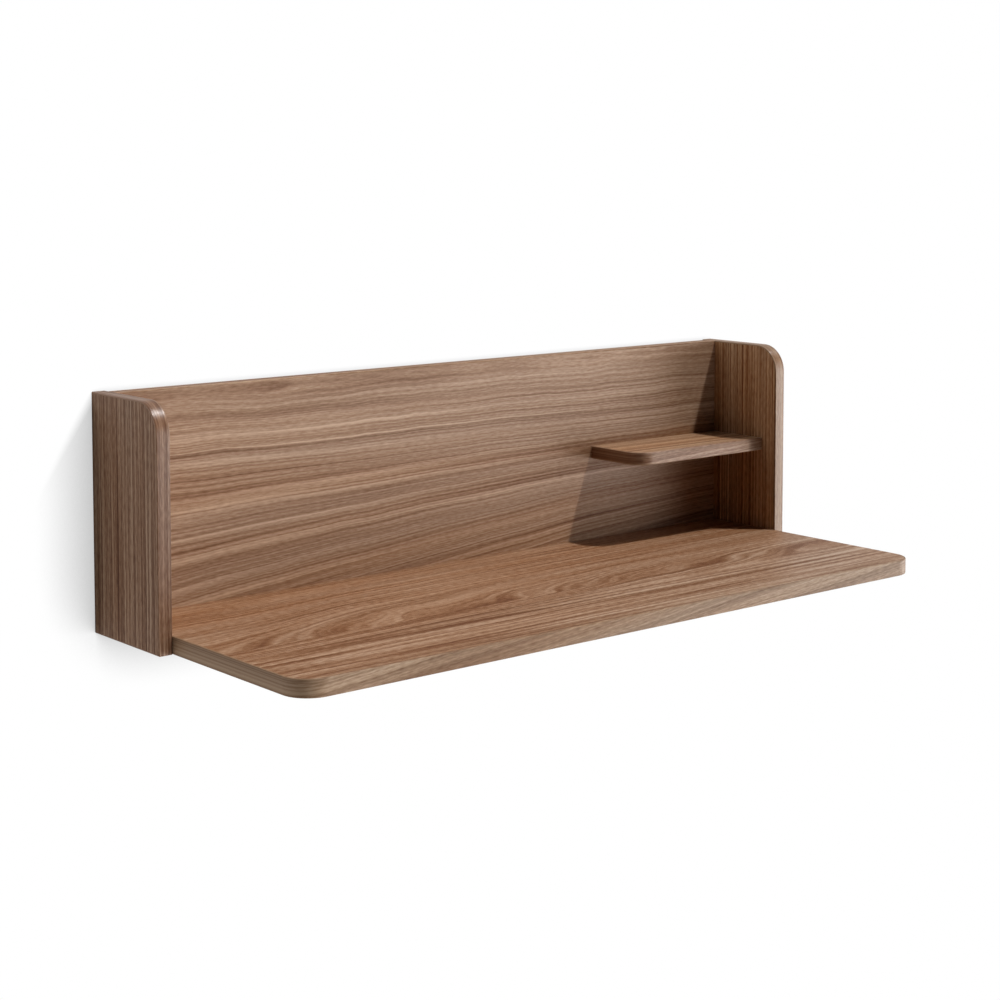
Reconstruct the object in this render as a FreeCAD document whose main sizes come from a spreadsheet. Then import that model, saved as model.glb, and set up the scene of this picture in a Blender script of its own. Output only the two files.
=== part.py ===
"""Floating wall desk: five veneered boards, their cam and dowel joints, and the rails that hang it.

Millimetres. X runs along the wall to the right, Y into the wall, Z up. The boards are drawn from the
desk's lower edge on the wall plane, and every finished piece is then placed so that the origin is the
middle of the wall rail's line of screw holes.
"""
import FreeCAD
import Part
import Sketcher

import os
import re

doc = FreeCAD.newDocument("floating_wall_desk")

SIZES = {
    # Boards
    "overall_width": 1100,
    "side_height": 305,
    "side_depth": 157,
    "side_corner_radius": 40,
    "board_thickness": 19,
    "desktop_thickness": 22,
    "desktop_depth": 430,
    "desktop_corner_radius": 36,
    "shelf_length": 262,
    "shelf_depth": 102,
    "shelf_top_height": 162,
    "shelf_corner_radius": 30,
    "veneer_thickness": 0.6,
    "band_thickness": 2,
    "arris_radius": 1.4,
    # Hanging rails
    "rail_top_gap": 12,
    "rail_thickness": 4,
    "rail_end_gap": 81,
    "wall_flange_height": 28,
    "desk_flange_height": 32,
    "hook_depth": 12,
    "hook_headroom": 1,
    "hook_play": 0.3,
    "wall_hole_diameter": 5.5,
    "wall_hole_end_distance": 50,
    # Cam locks, their bolts and covers
    "cam_diameter": 15,
    "cam_height": 13,
    "cam_floor": 3.5,
    "cam_setback": 24,
    "cam_axis_depth": 9.5,
    "cam_recess_length": 9,
    "cam_recess_width": 1.8,
    "cam_recess_depth": 2,
    "cap_diameter": 18,
    "cap_thickness": 1.2,
    "cap_bevel": 0.5,
    "bolt_thread_diameter": 5,
    "bolt_thread_length": 11,
    "bolt_shank_diameter": 7,
    "bolt_bore_diameter": 8,
    "bolt_neck_diameter": 4.6,
    "bolt_head_diameter": 7.4,
    "bolt_head_length": 4,
    # Dowels
    "dowel_diameter": 8,
    "dowel_face_length": 10,
    "dowel_edge_length": 20,
    "dowel_bevel": 1,
    # Screws
    "rail_screw_diameter": 4,
    "rail_screw_head": 7.6,
    "rail_screw_length": 16,
    "shelf_screw_diameter": 5,
    "shelf_screw_head": 9.6,
    "shelf_screw_length": 46,
    "screw_recess_length": 4.4,
    "screw_recess_width": 1.1,
    "screw_recess_depth": 1.4,
    # Clearance round what sits in a bore, and the overrun of cuts
    "fit_clearance": 0.1,
    "cut_overrun": 1,
}

# Places along each joint, as shares of its length
WALL_HOLE_SHARES = (0.5, 1)
RAIL_SCREW_SHARES = (0.15, 0.5, 0.85)
SIDE_CAM_SHARES = (0.3, 0.72)
SIDE_DOWEL_SHARES = (0.13, 0.51, 0.9)
BACK_FOOT_CAM_SHARES = (0.25, 0.75)
BACK_FOOT_DOWEL_SHARES = (0.5, 0.9)
BACK_END_CAM_SHARES = (0.3, 0.72)
BACK_END_DOWEL_SHARES = (0.12, 0.5, 0.9)
SHELF_CAM_SHARES = (0.5,)
SHELF_DOWEL_SHARES = (0.2, 0.8)
SHELF_SCREW_SHARES = (0.25, 0.7)

sheet = doc.addObject("Spreadsheet::Sheet", "Sizes")
for row, (alias, value) in enumerate(SIZES.items(), start=1):
    sheet.set(f"A{row}", alias)
    sheet.set(f"B{row}", str(value))
    sheet.setAlias(f"B{row}", alias)
doc.recompute()

# Lengths and levels that several pieces share, written in the driving dimensions
HALF_INSIDE = "(overall_width / 2 - board_thickness)"
BACK_REAR = "(2 * rail_thickness)"
BACK_FRONT = f"({BACK_REAR} + board_thickness)"
BACK_AXIS = f"({BACK_REAR} + cam_axis_depth)"
BACK_HEIGHT = "(side_height - desktop_thickness)"
SHELF_UNDERSIDE = "(shelf_top_height - board_thickness)"
SHELF_AXIS = f"({SHELF_UNDERSIDE} + cam_axis_depth)"
HALF_RAIL = f"({HALF_INSIDE} - rail_end_gap)"
DESK_FLANGE_FOOT = "(side_height - rail_top_gap - desk_flange_height)"
RAIL_SHOULDER = f"({DESK_FLANGE_FOOT} - hook_headroom - hook_depth)"
RAIL_LINE = f"({RAIL_SHOULDER} - wall_flange_height / 2)"

X = FreeCAD.Vector(1, 0, 0)
Y = FreeCAD.Vector(0, 1, 0)
Z = FreeCAD.Vector(0, 0, 1)

finished = []


def bind(thing, path, text):
    """Ties a property to the sheet; the text is a formula in the driving dimensions."""

    def cell(word):
        return f"Sizes.{word.group()}" if word.group() in SIZES else word.group()

    thing.setExpression(path, re.sub(r"[a-z_]+", cell, text))


def new_body(name):
    """A body, with its origin's planes and axes by role."""
    body = doc.addObject("PartDesign::Body", name)
    return body, {feature.Role: feature for feature in body.Origin.OriginFeatures}


def draw(body, plane, corners, offset="0", shift="0"):
    """A closed outline of straight lines whose corners are tied to the sheet."""
    sketch = body.newObject("Sketcher::SketchObject", f"{body.Name}_outline")
    sketch.AttachmentSupport = (plane, [""])
    sketch.MapMode = "FlatFace"
    bind(sketch, "AttachmentOffset.Base.z", offset)
    bind(sketch, "AttachmentOffset.Base.x", shift)
    count = len(corners)
    step = FreeCAD.Rotation(Z, 360 / count)
    start = X
    for line in range(count):
        end = step.multVec(start)
        sketch.addGeometry(Part.LineSegment(start, end), False)
        start = end
    for line in range(count):
        sketch.addConstraint(Sketcher.Constraint("Coincident", line, 2, (line + 1) % count, 1))
    for line, corner in enumerate(corners):
        for kind, text in zip(("DistanceX", "DistanceY"), corner):
            place = sketch.addConstraint(Sketcher.Constraint(kind, -1, 1, line, 1, 0))
            bind(sketch, f"Constraints[{place}]", text)
    return sketch


def rectangle(left, low, right, high):
    """The corners of an upright rectangle."""
    return [(left, low), (right, low), (right, high), (left, high)]


def cross(length, width):
    """The corners of a cross recess, round the middle of its sketch."""
    far = f"{length} / 2"
    near = f"{width} / 2"
    quarter = [(far, near), (near, near), (near, far)]
    corners = []
    for number in range(4):
        corners += quarter
        quarter = [(f"-({y})", x) for x, y in quarter]
    return corners


def pad(body, sketch, length):
    """Thickens a sketch along its normal."""
    feature = body.newObject("PartDesign::Pad", f"{body.Name}_pad")
    feature.Profile = sketch
    bind(feature, "Length", length)
    body.Tip = feature
    doc.recompute()


def pocket(body, sketch, depth):
    """Cuts from a sketch along its normal, and makes sure that something was cut."""
    before = body.Tip.Shape.Volume
    feature = body.newObject("PartDesign::Pocket", f"{body.Name}_pocket")
    feature.Profile = sketch
    feature.Reversed = True
    bind(feature, "Length", depth)
    body.Tip = feature
    doc.recompute()
    if feature.Shape.Volume >= before:
        raise RuntimeError(f"{feature.Name} cuts nothing")


def revolve(body, sketch, axis):
    """Turns a half profile about an axis."""
    feature = body.newObject("PartDesign::Revolution", f"{body.Name}_revolution")
    feature.Profile = sketch
    feature.ReferenceAxis = axis
    feature.Angle = 360
    body.Tip = feature
    doc.recompute()


def fillet(body, wanted, radius):
    """Rounds those edges of the body that are wanted."""
    base = body.Tip
    names = [f"Edge{number}" for number, edge in enumerate(base.Shape.Edges, start=1) if wanted(edge)]
    feature = body.newObject("PartDesign::Fillet", f"{body.Name}_fillet")
    feature.Base = (base, names)
    bind(feature, "Radius", radius)
    body.Tip = feature
    doc.recompute()


def combine(kind, name, base, tool):
    """A boolean of two objects."""
    feature = doc.addObject(kind, name)
    feature.Base = base
    feature.Tool = tool
    doc.recompute()
    return feature


def finish(label, thing):
    """Names a finished piece and moves it from the desk's lower edge to the part's origin."""
    thing.Label = label
    bind(thing, "Placement.Base.z", f"-{RAIL_LINE}")
    finished.append(thing)


# Boards: a core, a veneer on each face and a band on the edges that show


def reach(points, direction):
    """How far the points lie in a direction."""
    return max(point.dot(direction) for point in points)


def lies_on(edge, shape, direction):
    """Whether an edge lies on the side of a shape that faces a direction."""
    side = reach([vertex.Point for vertex in shape.Vertexes], direction)
    return all(side - vertex.Point.dot(direction) < shape.getTolerance(1) for vertex in edge.Vertexes)


def slab(name, role, outline, offset, thickness, round_towards=(), radius="0"):
    """A board blank; the corner edges that lie furthest in the given directions are rounded."""
    body, origin = new_body(name)
    pad(body, draw(body, origin[role], rectangle(*outline), offset), thickness)
    for direction in round_towards:
        furthest = reach([edge.CenterOfMass for edge in body.Tip.Shape.Edges], direction)
        fillet(body, lambda edge: edge.CenterOfMass.dot(direction) == furthest, radius)
    return body


def board(name, role, normal, outline, banded, offset, thickness, bare, faces, round_towards, radius):
    """The layers of a veneered board, built up from the plane at offset along the normal.

    outline and banded follow left, low, right, high: a banded side has a 1, and the layers stop short of
    it by the band. bare lists the directions whose edges stay square. faces names the two veneers.
    """
    left, low, right, high = outline
    inset = (
        f"{left} + {banded[0]} * band_thickness",
        f"{low} + {banded[1]} * band_thickness",
        f"{right} - {banded[2]} * band_thickness",
        f"{high} - {banded[3]} * band_thickness",
    )
    inner_radius = f"{radius} - band_thickness"
    whole = slab(f"{name}_whole", role, outline, offset, thickness, round_towards, radius)
    shape = whole.Tip.Shape

    def is_arris(edge):
        on_face = lies_on(edge, shape, normal) or lies_on(edge, shape, -normal)
        return on_face and not any(lies_on(edge, shape, side) for side in bare)

    fillet(whole, is_arris, "arris_radius")

    def layer(part, level, height):
        return slab(f"{name}_{part}_blank", role, inset, level, height, round_towards, inner_radius)

    inside = layer("inside", offset, thickness)
    upper_face = f"{offset} + {thickness} - veneer_thickness"
    return {
        "core": layer("core", f"{offset} + veneer_thickness", f"{thickness} - 2 * veneer_thickness"),
        f"{faces[0]}_veneer": layer(faces[0], offset, "veneer_thickness"),
        f"{faces[1]}_veneer": layer(faces[1], upper_face, "veneer_thickness"),
        "edge_band": combine("Part::Cut", f"{name}_edge_band_blank", whole, inside),
    }


def side_panel(name, offset, faces):
    """A side panel; its bottom edge has a strip of band of its own, behind the front band."""
    outline = ("-side_depth", "0", "0", "side_height")
    layers = board(
        name, "YZ_Plane", X, outline, (1, 1, 0, 1), offset, "board_thickness",
        bare=[Y], faces=faces, round_towards=[Z - Y], radius="side_corner_radius",
    )
    strip_outline = ("band_thickness - side_depth", "0", "0", "band_thickness")
    strip = slab(f"{name}_strip", "YZ_Plane", strip_outline, offset, "board_thickness")
    bands = layers["edge_band"]
    layers["bottom_band"] = combine("Part::Common", f"{name}_bottom_band_blank", bands, strip)
    layers["edge_band"] = combine("Part::Cut", f"{name}_front_band_blank", bands, strip)
    return layers


def finish_board(name, layers, *bores):
    """Drills a board through all its layers and finishes them."""
    drilling = doc.addObject("Part::Compound", f"{name}_drilling")
    drilling.Links = list(bores)
    for layer, blank in layers.items():
        finish(f"{name}_{layer}", combine("Part::Cut", f"{name}_{layer}_drilled", blank, drilling))


# Fittings: each is drawn once, along X from the plane of its joint, and driven from its -Z or -X end


def turned_piece(name, profile):
    """A piece turned about X; the profile gives places along the axis and radii."""
    body, origin = new_body(name)
    revolve(body, draw(body, origin["XY_Plane"], profile), (origin["X_Axis"], [""]))
    return body


def turn_about_cam(body, origin, profile):
    """Adds a shape turned about the cam lock's axis; the profile gives radii and levels."""
    sketch = draw(body, origin["XZ_Plane"], profile, shift="cam_setback")
    revolve(body, sketch, (sketch, ["V_Axis"]))


def cam_lock():
    """A cup that the head of the bolt fits into, with a slot for its neck and a cross recess outside."""
    body, origin = new_body("cam_lock")
    plane = origin["XY_Plane"]
    rim = "cam_height - cam_axis_depth"
    floor = "cam_floor - cam_axis_depth"
    outer = "cam_diameter / 2"
    inner = "sqrt((bolt_head_diameter / 2 + fit_clearance) ^ 2 + (bolt_head_length / 2) ^ 2)"
    cup = [
        ("0", "-cam_axis_depth"), (outer, "-cam_axis_depth"), (outer, rim),
        (inner, rim), (inner, floor), ("0", floor),
    ]
    turn_about_cam(body, origin, cup)
    slot_half = "(bolt_neck_diameter / 2 + fit_clearance)"
    slot = rectangle(f"-{outer} - cut_overrun", f"-{slot_half}", "0", slot_half)
    pocket(body, draw(body, plane, slot, f"-{slot_half}", "cam_setback"), "cam_height")
    recess = cross("cam_recess_length", "cam_recess_width")
    pocket(body, draw(body, plane, recess, "-cam_axis_depth", "cam_setback"), "cam_recess_depth")
    return body


def cam_bolt():
    """Thread, shank, neck and head; the head is caught in the cup of the cam lock."""
    shank_end = "(cam_setback - cam_diameter / 2 - fit_clearance)"
    head_start = "(cam_setback - bolt_head_length / 2)"
    head_end = "(cam_setback + bolt_head_length / 2)"
    steps = [
        ("-bolt_thread_length", "0", "bolt_thread_diameter"),
        ("0", shank_end, "bolt_shank_diameter"),
        (shank_end, head_start, "bolt_neck_diameter"),
        (head_start, head_end, "bolt_head_diameter"),
    ]
    profile = [("-bolt_thread_length", "0")]
    for start, end, diameter in steps:
        profile += [(start, f"{diameter} / 2"), (end, f"{diameter} / 2")]
    profile.append((head_end, "0"))
    return turned_piece("cam_bolt", profile)


def cam_bore():
    """What is drilled for one cam lock and its bolt, in both boards."""
    body, origin = new_body("cam_bore")
    thread_end = "-bolt_thread_length - fit_clearance"
    thread_radius = "bolt_thread_diameter / 2 + fit_clearance"
    bolt = [
        (thread_end, "0"), (thread_end, thread_radius), ("0", thread_radius),
        ("0", "bolt_bore_diameter / 2"), ("cam_setback", "bolt_bore_diameter / 2"), ("cam_setback", "0"),
    ]
    revolve(body, draw(body, origin["XY_Plane"], bolt), (origin["X_Axis"], [""]))
    radius = "cam_diameter / 2 + fit_clearance"
    mouth = "-cam_axis_depth - cut_overrun"
    floor = "bolt_bore_diameter / 2 + fit_clearance"
    turn_about_cam(body, origin, rectangle("0", mouth, radius, floor))
    return body


def cam_cap():
    """A flat cover with a bevelled rim over the mouth of a cam lock's bore."""
    body, origin = new_body("cam_cap")
    face = "-cam_axis_depth - cap_thickness"
    radius = "cap_diameter / 2"
    profile = [
        ("0", face), (f"{radius} - cap_bevel", face), (radius, f"{face} + cap_bevel"),
        (radius, "-cam_axis_depth"), ("0", "-cam_axis_depth"),
    ]
    turn_about_cam(body, origin, profile)
    return body


def dowel():
    """A wooden pin with bevelled ends."""
    radius = "dowel_diameter / 2"
    tip = f"{radius} - dowel_bevel"
    profile = [
        ("-dowel_face_length", "0"), ("-dowel_face_length", tip),
        ("dowel_bevel - dowel_face_length", radius), ("dowel_edge_length - dowel_bevel", radius),
        ("dowel_edge_length", tip), ("dowel_edge_length", "0"),
    ]
    return turned_piece("dowel", profile)


def dowel_bore():
    """What is drilled for a dowel, in both boards."""
    start = "-dowel_face_length - fit_clearance"
    end = "dowel_edge_length + fit_clearance"
    return turned_piece("dowel_bore", rectangle(start, "0", end, "dowel_diameter / 2 + fit_clearance"))


def screw(name):
    """A countersunk screw with a cross recess, driven along X with its head flush at zero."""
    shank = f"{name}_diameter / 2"
    head = f"{name}_head / 2"
    point = f"{name}_length - {shank}"
    sink = f"{head} - {shank}"
    profile = [("0", "0"), ("0", head), (sink, shank), (point, shank), (f"{name}_length", "0")]
    body, origin = new_body(name)
    revolve(body, draw(body, origin["XY_Plane"], profile), (origin["X_Axis"], [""]))
    recess = cross("screw_recess_length", "screw_recess_width")
    pocket(body, draw(body, origin["YZ_Plane"], recess), "screw_recess_depth")
    return body


def screw_bore(name):
    """The countersunk hole of a screw."""
    shank = f"{name}_diameter / 2 + fit_clearance"
    head = f"{name}_head / 2 + fit_clearance"
    end = f"{name}_length + fit_clearance"
    sink = f"({name}_head - {name}_diameter) / 2"
    profile = [
        ("-cut_overrun", "0"), ("-cut_overrun", head), ("0", head),
        (sink, shank), (end, shank), (end, "0"),
    ]
    return turned_piece(f"{name}_bore", profile)


def wall_hole():
    """A plain hole through the wall rail."""
    end = "rail_thickness + cut_overrun"
    return turned_piece("wall_hole", rectangle("-cut_overrun", "0", end, "wall_hole_diameter / 2"))


def group(label, fitting, places):
    """Identical fittings as one object; a place is the way along, the way up and a point."""
    copies = []
    for along, up, point in places:
        copy = doc.addObject("App::Link", f"{label}_copy")
        copy.LinkedObject = fitting
        turn = FreeCAD.Rotation(along, FreeCAD.Vector(), up, "XZY")
        copy.LinkPlacement = FreeCAD.Placement(FreeCAD.Vector(), turn)
        for axis, text in zip("xyz", point):
            bind(copy, f"LinkPlacement.Base.{axis}", text)
        copies.append(copy)
    compound = doc.addObject("Part::Compound", label)
    compound.Links = copies
    doc.recompute()
    return compound


# Where the fittings go: both ends of the desktop and the back panel, mirrored

BOTH_ENDS = ((X, f"-{HALF_INSIDE}"), (-X, HALF_INSIDE))


def desktop_ends(shares):
    return [
        (along, Z, (end, f"-side_depth * {share}", "cam_axis_depth"))
        for along, end in BOTH_ENDS
        for share in shares
    ]


def back_ends(shares):
    return [
        (along, -Y, (end, f"-{BACK_AXIS}", f"desktop_thickness + {BACK_HEIGHT} * {share}"))
        for along, end in BOTH_ENDS
        for share in shares
    ]


def back_foot(shares):
    return [
        (Z, -Y, (f"{side} * {HALF_INSIDE} * {share}", f"-{BACK_AXIS}", "desktop_thickness"))
        for side in (-1, 1)
        for share in shares
    ]


def shelf_end(shares):
    return [
        (-X, Z, (HALF_INSIDE, f"-{BACK_FRONT} - shelf_depth * {share}", SHELF_AXIS)) for share in shares
    ]


def shelf_rear(shares):
    return [
        (-Y, Z, (f"{HALF_INSIDE} - shelf_length * {share}", f"-{BACK_REAR}", SHELF_AXIS)) for share in shares
    ]


def rail_line(half_length, depth, height, shares):
    return [
        (-Y, Z, (f"{side} * ({half_length}) * {share}", depth, height))
        for side in (-1, 1)
        for share in shares
    ]


lock, bolt, bore, cap = cam_lock(), cam_bolt(), cam_bore(), cam_cap()
pin, pin_bore = dowel(), dowel_bore()

bores = {}
for joint, places, cam_shares, dowel_shares in (
    ("desktop_end", desktop_ends, SIDE_CAM_SHARES, SIDE_DOWEL_SHARES),
    ("back_end", back_ends, BACK_END_CAM_SHARES, BACK_END_DOWEL_SHARES),
    ("back_foot", back_foot, BACK_FOOT_CAM_SHARES, BACK_FOOT_DOWEL_SHARES),
    ("shelf_end", shelf_end, SHELF_CAM_SHARES, SHELF_DOWEL_SHARES),
):
    cams = places(cam_shares)
    dowels = places(dowel_shares)
    finish(f"{joint}_cam_locks", group(f"{joint}_locks", lock, cams))
    finish(f"{joint}_cam_bolts", group(f"{joint}_bolts", bolt, cams))
    finish(f"{joint}_dowels", group(f"{joint}_pins", pin, dowels))
    bores[joint] = [group(f"{joint}_cam_bores", bore, cams), group(f"{joint}_pin_bores", pin_bore, dowels)]

finish("desktop_cam_caps", group("desktop_caps", cap, desktop_ends(SIDE_CAM_SHARES)))
finish("shelf_cam_caps", group("shelf_caps", cap, shelf_end(SHELF_CAM_SHARES)))

shelf_screw_places = shelf_rear(SHELF_SCREW_SHARES)
shelf_screw_bores = group("shelf_screw_bores", screw_bore("shelf_screw"), shelf_screw_places)
finish("shelf_screws", group("shelf_screw_group", screw("shelf_screw"), shelf_screw_places))

# Hanging rails: the desk rail's hook drops behind the wall rail's hook and stands on its shoulder


def rail(name, corners):
    """A rail with the given section across Y and Z."""
    body, origin = new_body(name)
    pad(body, draw(body, origin["YZ_Plane"], corners, f"-{HALF_RAIL}"), f"2 * {HALF_RAIL}")
    return body


wall_flange_foot = f"{RAIL_LINE} - wall_flange_height / 2"
hook_top = f"{RAIL_SHOULDER} + hook_depth"
wall_section = [
    ("0", wall_flange_foot),
    ("0", RAIL_SHOULDER),
    ("-rail_thickness", RAIL_SHOULDER),
    ("-rail_thickness", hook_top),
    ("hook_play - 2 * rail_thickness", hook_top),
    ("hook_play - 2 * rail_thickness", f"{RAIL_SHOULDER} - rail_thickness"),
    ("-rail_thickness", f"{RAIL_SHOULDER} - rail_thickness"),
    ("-rail_thickness", wall_flange_foot),
]
wall_hole_places = rail_line(f"{HALF_RAIL} - wall_hole_end_distance", "0", RAIL_LINE, WALL_HOLE_SHARES)
wall_holes = group("wall_holes", wall_hole(), wall_hole_places)
wall_rail_blank = rail("wall_rail_blank", wall_section)
finish("wall_rail", combine("Part::Cut", "wall_rail_drilled", wall_rail_blank, wall_holes))

desk_flange_top = f"{DESK_FLANGE_FOOT} + desk_flange_height"
desk_section = [
    ("-hook_play", RAIL_SHOULDER),
    ("hook_play - rail_thickness", RAIL_SHOULDER),
    ("hook_play - rail_thickness", DESK_FLANGE_FOOT),
    ("-2 * rail_thickness", DESK_FLANGE_FOOT),
    ("-2 * rail_thickness", desk_flange_top),
    ("-rail_thickness", desk_flange_top),
    ("-rail_thickness", f"{DESK_FLANGE_FOOT} + rail_thickness"),
    ("-hook_play", f"{DESK_FLANGE_FOOT} + rail_thickness"),
]
rail_screw_height = f"{DESK_FLANGE_FOOT} + (desk_flange_height + rail_thickness) / 2"
rail_screw_places = rail_line(HALF_RAIL, "-rail_thickness", rail_screw_height, RAIL_SCREW_SHARES)
rail_screw_bores = group("rail_screw_bores", screw_bore("rail_screw"), rail_screw_places)
desk_rail_blank = rail("desk_rail_blank", desk_section)
finish("desk_rail", combine("Part::Cut", "desk_rail_drilled", desk_rail_blank, rail_screw_bores))
finish("desk_rail_screws", group("rail_screw_group", screw("rail_screw"), rail_screw_places))

# The five boards, drilled for the fittings that they hold

left_side = side_panel("left_side", "-overall_width / 2", ("outer", "inner"))
finish_board("left_side", left_side, *bores["desktop_end"], *bores["back_end"])

right_side = side_panel("right_side", HALF_INSIDE, ("inner", "outer"))
finish_board("right_side", right_side, *bores["desktop_end"], *bores["back_end"], *bores["shelf_end"])

back_panel = board(
    "back_panel", "XZ_Plane", Y, (f"-{HALF_INSIDE}", "desktop_thickness", HALF_INSIDE, "side_height"),
    (0, 0, 0, 1), BACK_REAR, "board_thickness", bare=[X, -X, -Z], faces=("rear", "front"),
    round_towards=[], radius="0",
)
finish_board(
    "back_panel", back_panel, *bores["back_end"], *bores["back_foot"], rail_screw_bores, shelf_screw_bores
)

desktop = board(
    "desktop", "XY_Plane", Z, (f"-{HALF_INSIDE}", "-desktop_depth", HALF_INSIDE, "0"),
    (1, 1, 1, 0), "0", "desktop_thickness", bare=[Y], faces=("bottom", "top"),
    round_towards=[-X - Y, X - Y], radius="desktop_corner_radius",
)
finish_board("desktop", desktop, *bores["desktop_end"], *bores["back_foot"])

shelf_left = f"{HALF_INSIDE} - shelf_length"
shelf_front = f"-{BACK_FRONT} - shelf_depth"
shelf = board(
    "shelf", "XY_Plane", Z, (shelf_left, shelf_front, HALF_INSIDE, f"-{BACK_FRONT}"),
    (1, 1, 0, 0), SHELF_UNDERSIDE, "board_thickness", bare=[X, Y], faces=("bottom", "top"),
    round_towards=[-X - Y], radius="shelf_corner_radius",
)
finish_board("shelf", shelf, *bores["shelf_end"], shelf_screw_bores)

doc.recompute()
failed = [thing.Name for thing in doc.Objects if {"Invalid", "Error"} & set(thing.State)]
failed += [thing.Label for thing in finished if thing.Shape.isNull() or not thing.Shape.isValid()]
if failed:
    raise RuntimeError(f"failed: {failed}")

os.makedirs("parts", exist_ok=True)
for thing in finished:
    thing.Shape.exportStep(f"parts/{thing.Label}.step")
    print(thing.Label, len(thing.Shape.Solids), round(thing.Shape.Volume), thing.Shape.BoundBox)
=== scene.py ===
import math

import bpy
from mathutils import Matrix, Vector


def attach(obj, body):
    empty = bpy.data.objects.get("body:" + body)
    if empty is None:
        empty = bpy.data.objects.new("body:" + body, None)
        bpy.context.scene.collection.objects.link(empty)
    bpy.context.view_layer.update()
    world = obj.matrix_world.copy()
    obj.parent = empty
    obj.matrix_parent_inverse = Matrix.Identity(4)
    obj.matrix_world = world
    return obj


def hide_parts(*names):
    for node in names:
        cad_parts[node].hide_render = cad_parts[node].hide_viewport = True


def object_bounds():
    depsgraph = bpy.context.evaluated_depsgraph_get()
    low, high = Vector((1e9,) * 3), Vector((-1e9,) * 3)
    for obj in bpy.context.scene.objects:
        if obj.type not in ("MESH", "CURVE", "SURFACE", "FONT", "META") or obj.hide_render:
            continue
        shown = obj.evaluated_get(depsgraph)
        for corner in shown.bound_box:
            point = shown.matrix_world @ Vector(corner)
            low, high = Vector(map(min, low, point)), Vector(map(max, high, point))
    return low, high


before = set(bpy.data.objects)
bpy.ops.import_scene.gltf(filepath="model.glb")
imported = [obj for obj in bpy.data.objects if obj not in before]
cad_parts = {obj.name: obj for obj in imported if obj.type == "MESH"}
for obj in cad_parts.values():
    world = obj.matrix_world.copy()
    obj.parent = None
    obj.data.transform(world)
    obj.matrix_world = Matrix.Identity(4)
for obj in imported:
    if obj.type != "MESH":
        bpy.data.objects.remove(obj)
cad_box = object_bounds()


# Board cores. Raw fibreboard, pressed from wood fibre and glue. It shows only at the rear edges of the side
# panels and the desktop, which are left bare because they stand against the wall.

def joined(tree, kind, inputs, **settings):
    """Adds a shader node with its settings; an input is a value or the socket that feeds it."""
    made = tree.nodes.new(kind)
    for name, value in settings.items():
        setattr(made, name, value)
    for name, value in inputs.items():
        if isinstance(value, bpy.types.NodeSocket):
            tree.links.new(value, made.inputs[name])
        else:
            made.inputs[name].default_value = value
    return made


def worked(tree, operation, *terms):
    """The result of one step of arithmetic."""
    return joined(tree, "ShaderNodeMath", dict(enumerate(terms)), operation=operation).outputs[0]


def new_finish(name):
    """An empty material, its shader and the place of each point in metres."""
    finish = bpy.data.materials.new(name)
    finish.use_nodes = True
    tree = finish.node_tree
    place = joined(tree, "ShaderNodeTexCoord", {}).outputs["Object"]
    return finish, tree, tree.nodes["Principled BSDF"], place


def stretched(tree, place, scale, detail=2.0):
    """Noise with its own frequency, per metre, along each axis."""
    drawn = joined(tree, "ShaderNodeMapping", {"Vector": place, "Scale": scale}).outputs["Vector"]
    grain = joined(tree, "ShaderNodeTexNoise", {"Vector": drawn, "Scale": 1.0, "Detail": detail})
    return grain.outputs["Fac"]


def ranged(tree, value, low, high, start=0.0, end=1.0, ease="LINEAR"):
    """Spreads a value from the range start to end over the range low to high, held at the ends."""
    ends = {"Value": value, "From Min": start, "From Max": end, "To Min": low, "To Max": high}
    return joined(tree, "ShaderNodeMapRange", ends, interpolation_type=ease).outputs["Result"]


def screen(red, green, blue):
    """A colour given as screen values, in the light values that a shader takes."""
    return tuple(((part / 255.0 + 0.055) / 1.055) ** 2.4 for part in (red, green, blue))


def toned(tree, value, stops):
    """A colour for a value, from stops of place and colour."""
    ramp = joined(tree, "ShaderNodeValToRGB", {"Fac": value})
    band = ramp.color_ramp
    while len(band.elements) < len(stops):
        band.elements.new(1.0)
    for element, (at, colour) in zip(band.elements, stops):
        element.position = at
        element.color = (*colour, 1.0)
    return ramp.outputs["Color"]


def surface(tree, shader, colour, roughness, height, depth):
    """Feeds a shader its colour and roughness, and bump from a height field, in metres."""
    bump = joined(tree, "ShaderNodeBump", {"Height": height, "Strength": 1.0, "Distance": depth})
    tree.links.new(colour, shader.inputs["Base Color"])
    tree.links.new(roughness, shader.inputs["Roughness"])
    tree.links.new(bump.outputs["Normal"], shader.inputs["Normal"])


def dressed(finish, *names):
    """Gives CAD nodes their finish."""
    for name in names:
        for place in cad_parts[name].material_slots:
            place.material = finish


CLUMPS_PER_METRE = (260.0, 260.0, 260.0)
FIBRES_PER_METRE = (900.0, 1600.0, 1600.0)
FIBRE_SHARE = 0.6
FELT_TONES = ((0.3, screen(134, 101, 68)), (0.5, screen(171, 136, 98)), (0.7, screen(196, 165, 126)))
FELT_ROUGHNESS = (0.78, 0.95)
FELT_DEPTH = 0.00025


def raw_fibreboard():
    """Pressed wood fibre: a pale brown felt of clumps and fine fibres."""
    finish, tree, shader, place = new_finish("raw_fibreboard")
    clumps = worked(tree, "MULTIPLY", stretched(tree, place, CLUMPS_PER_METRE), 1.0 - FIBRE_SHARE)
    fibres = stretched(tree, place, FIBRES_PER_METRE, detail=3.0)
    felt = worked(tree, "MULTIPLY_ADD", fibres, FIBRE_SHARE, clumps)
    roughness = ranged(tree, felt, *FELT_ROUGHNESS)
    surface(tree, shader, toned(tree, felt, FELT_TONES), roughness, felt, FELT_DEPTH)
    return finish


BOARDS = ("left_side", "right_side", "back_panel", "desktop", "shelf")
dressed(raw_fibreboard(), *[f"{board}_core" for board in BOARDS])


# Veneers. Walnut sliced from a log and pressed onto both faces of each core, with matt lacquer. The figure is
# the log's growth rings as the face of the board cuts them: crowns over the heart, straight lines beside it.

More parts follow.
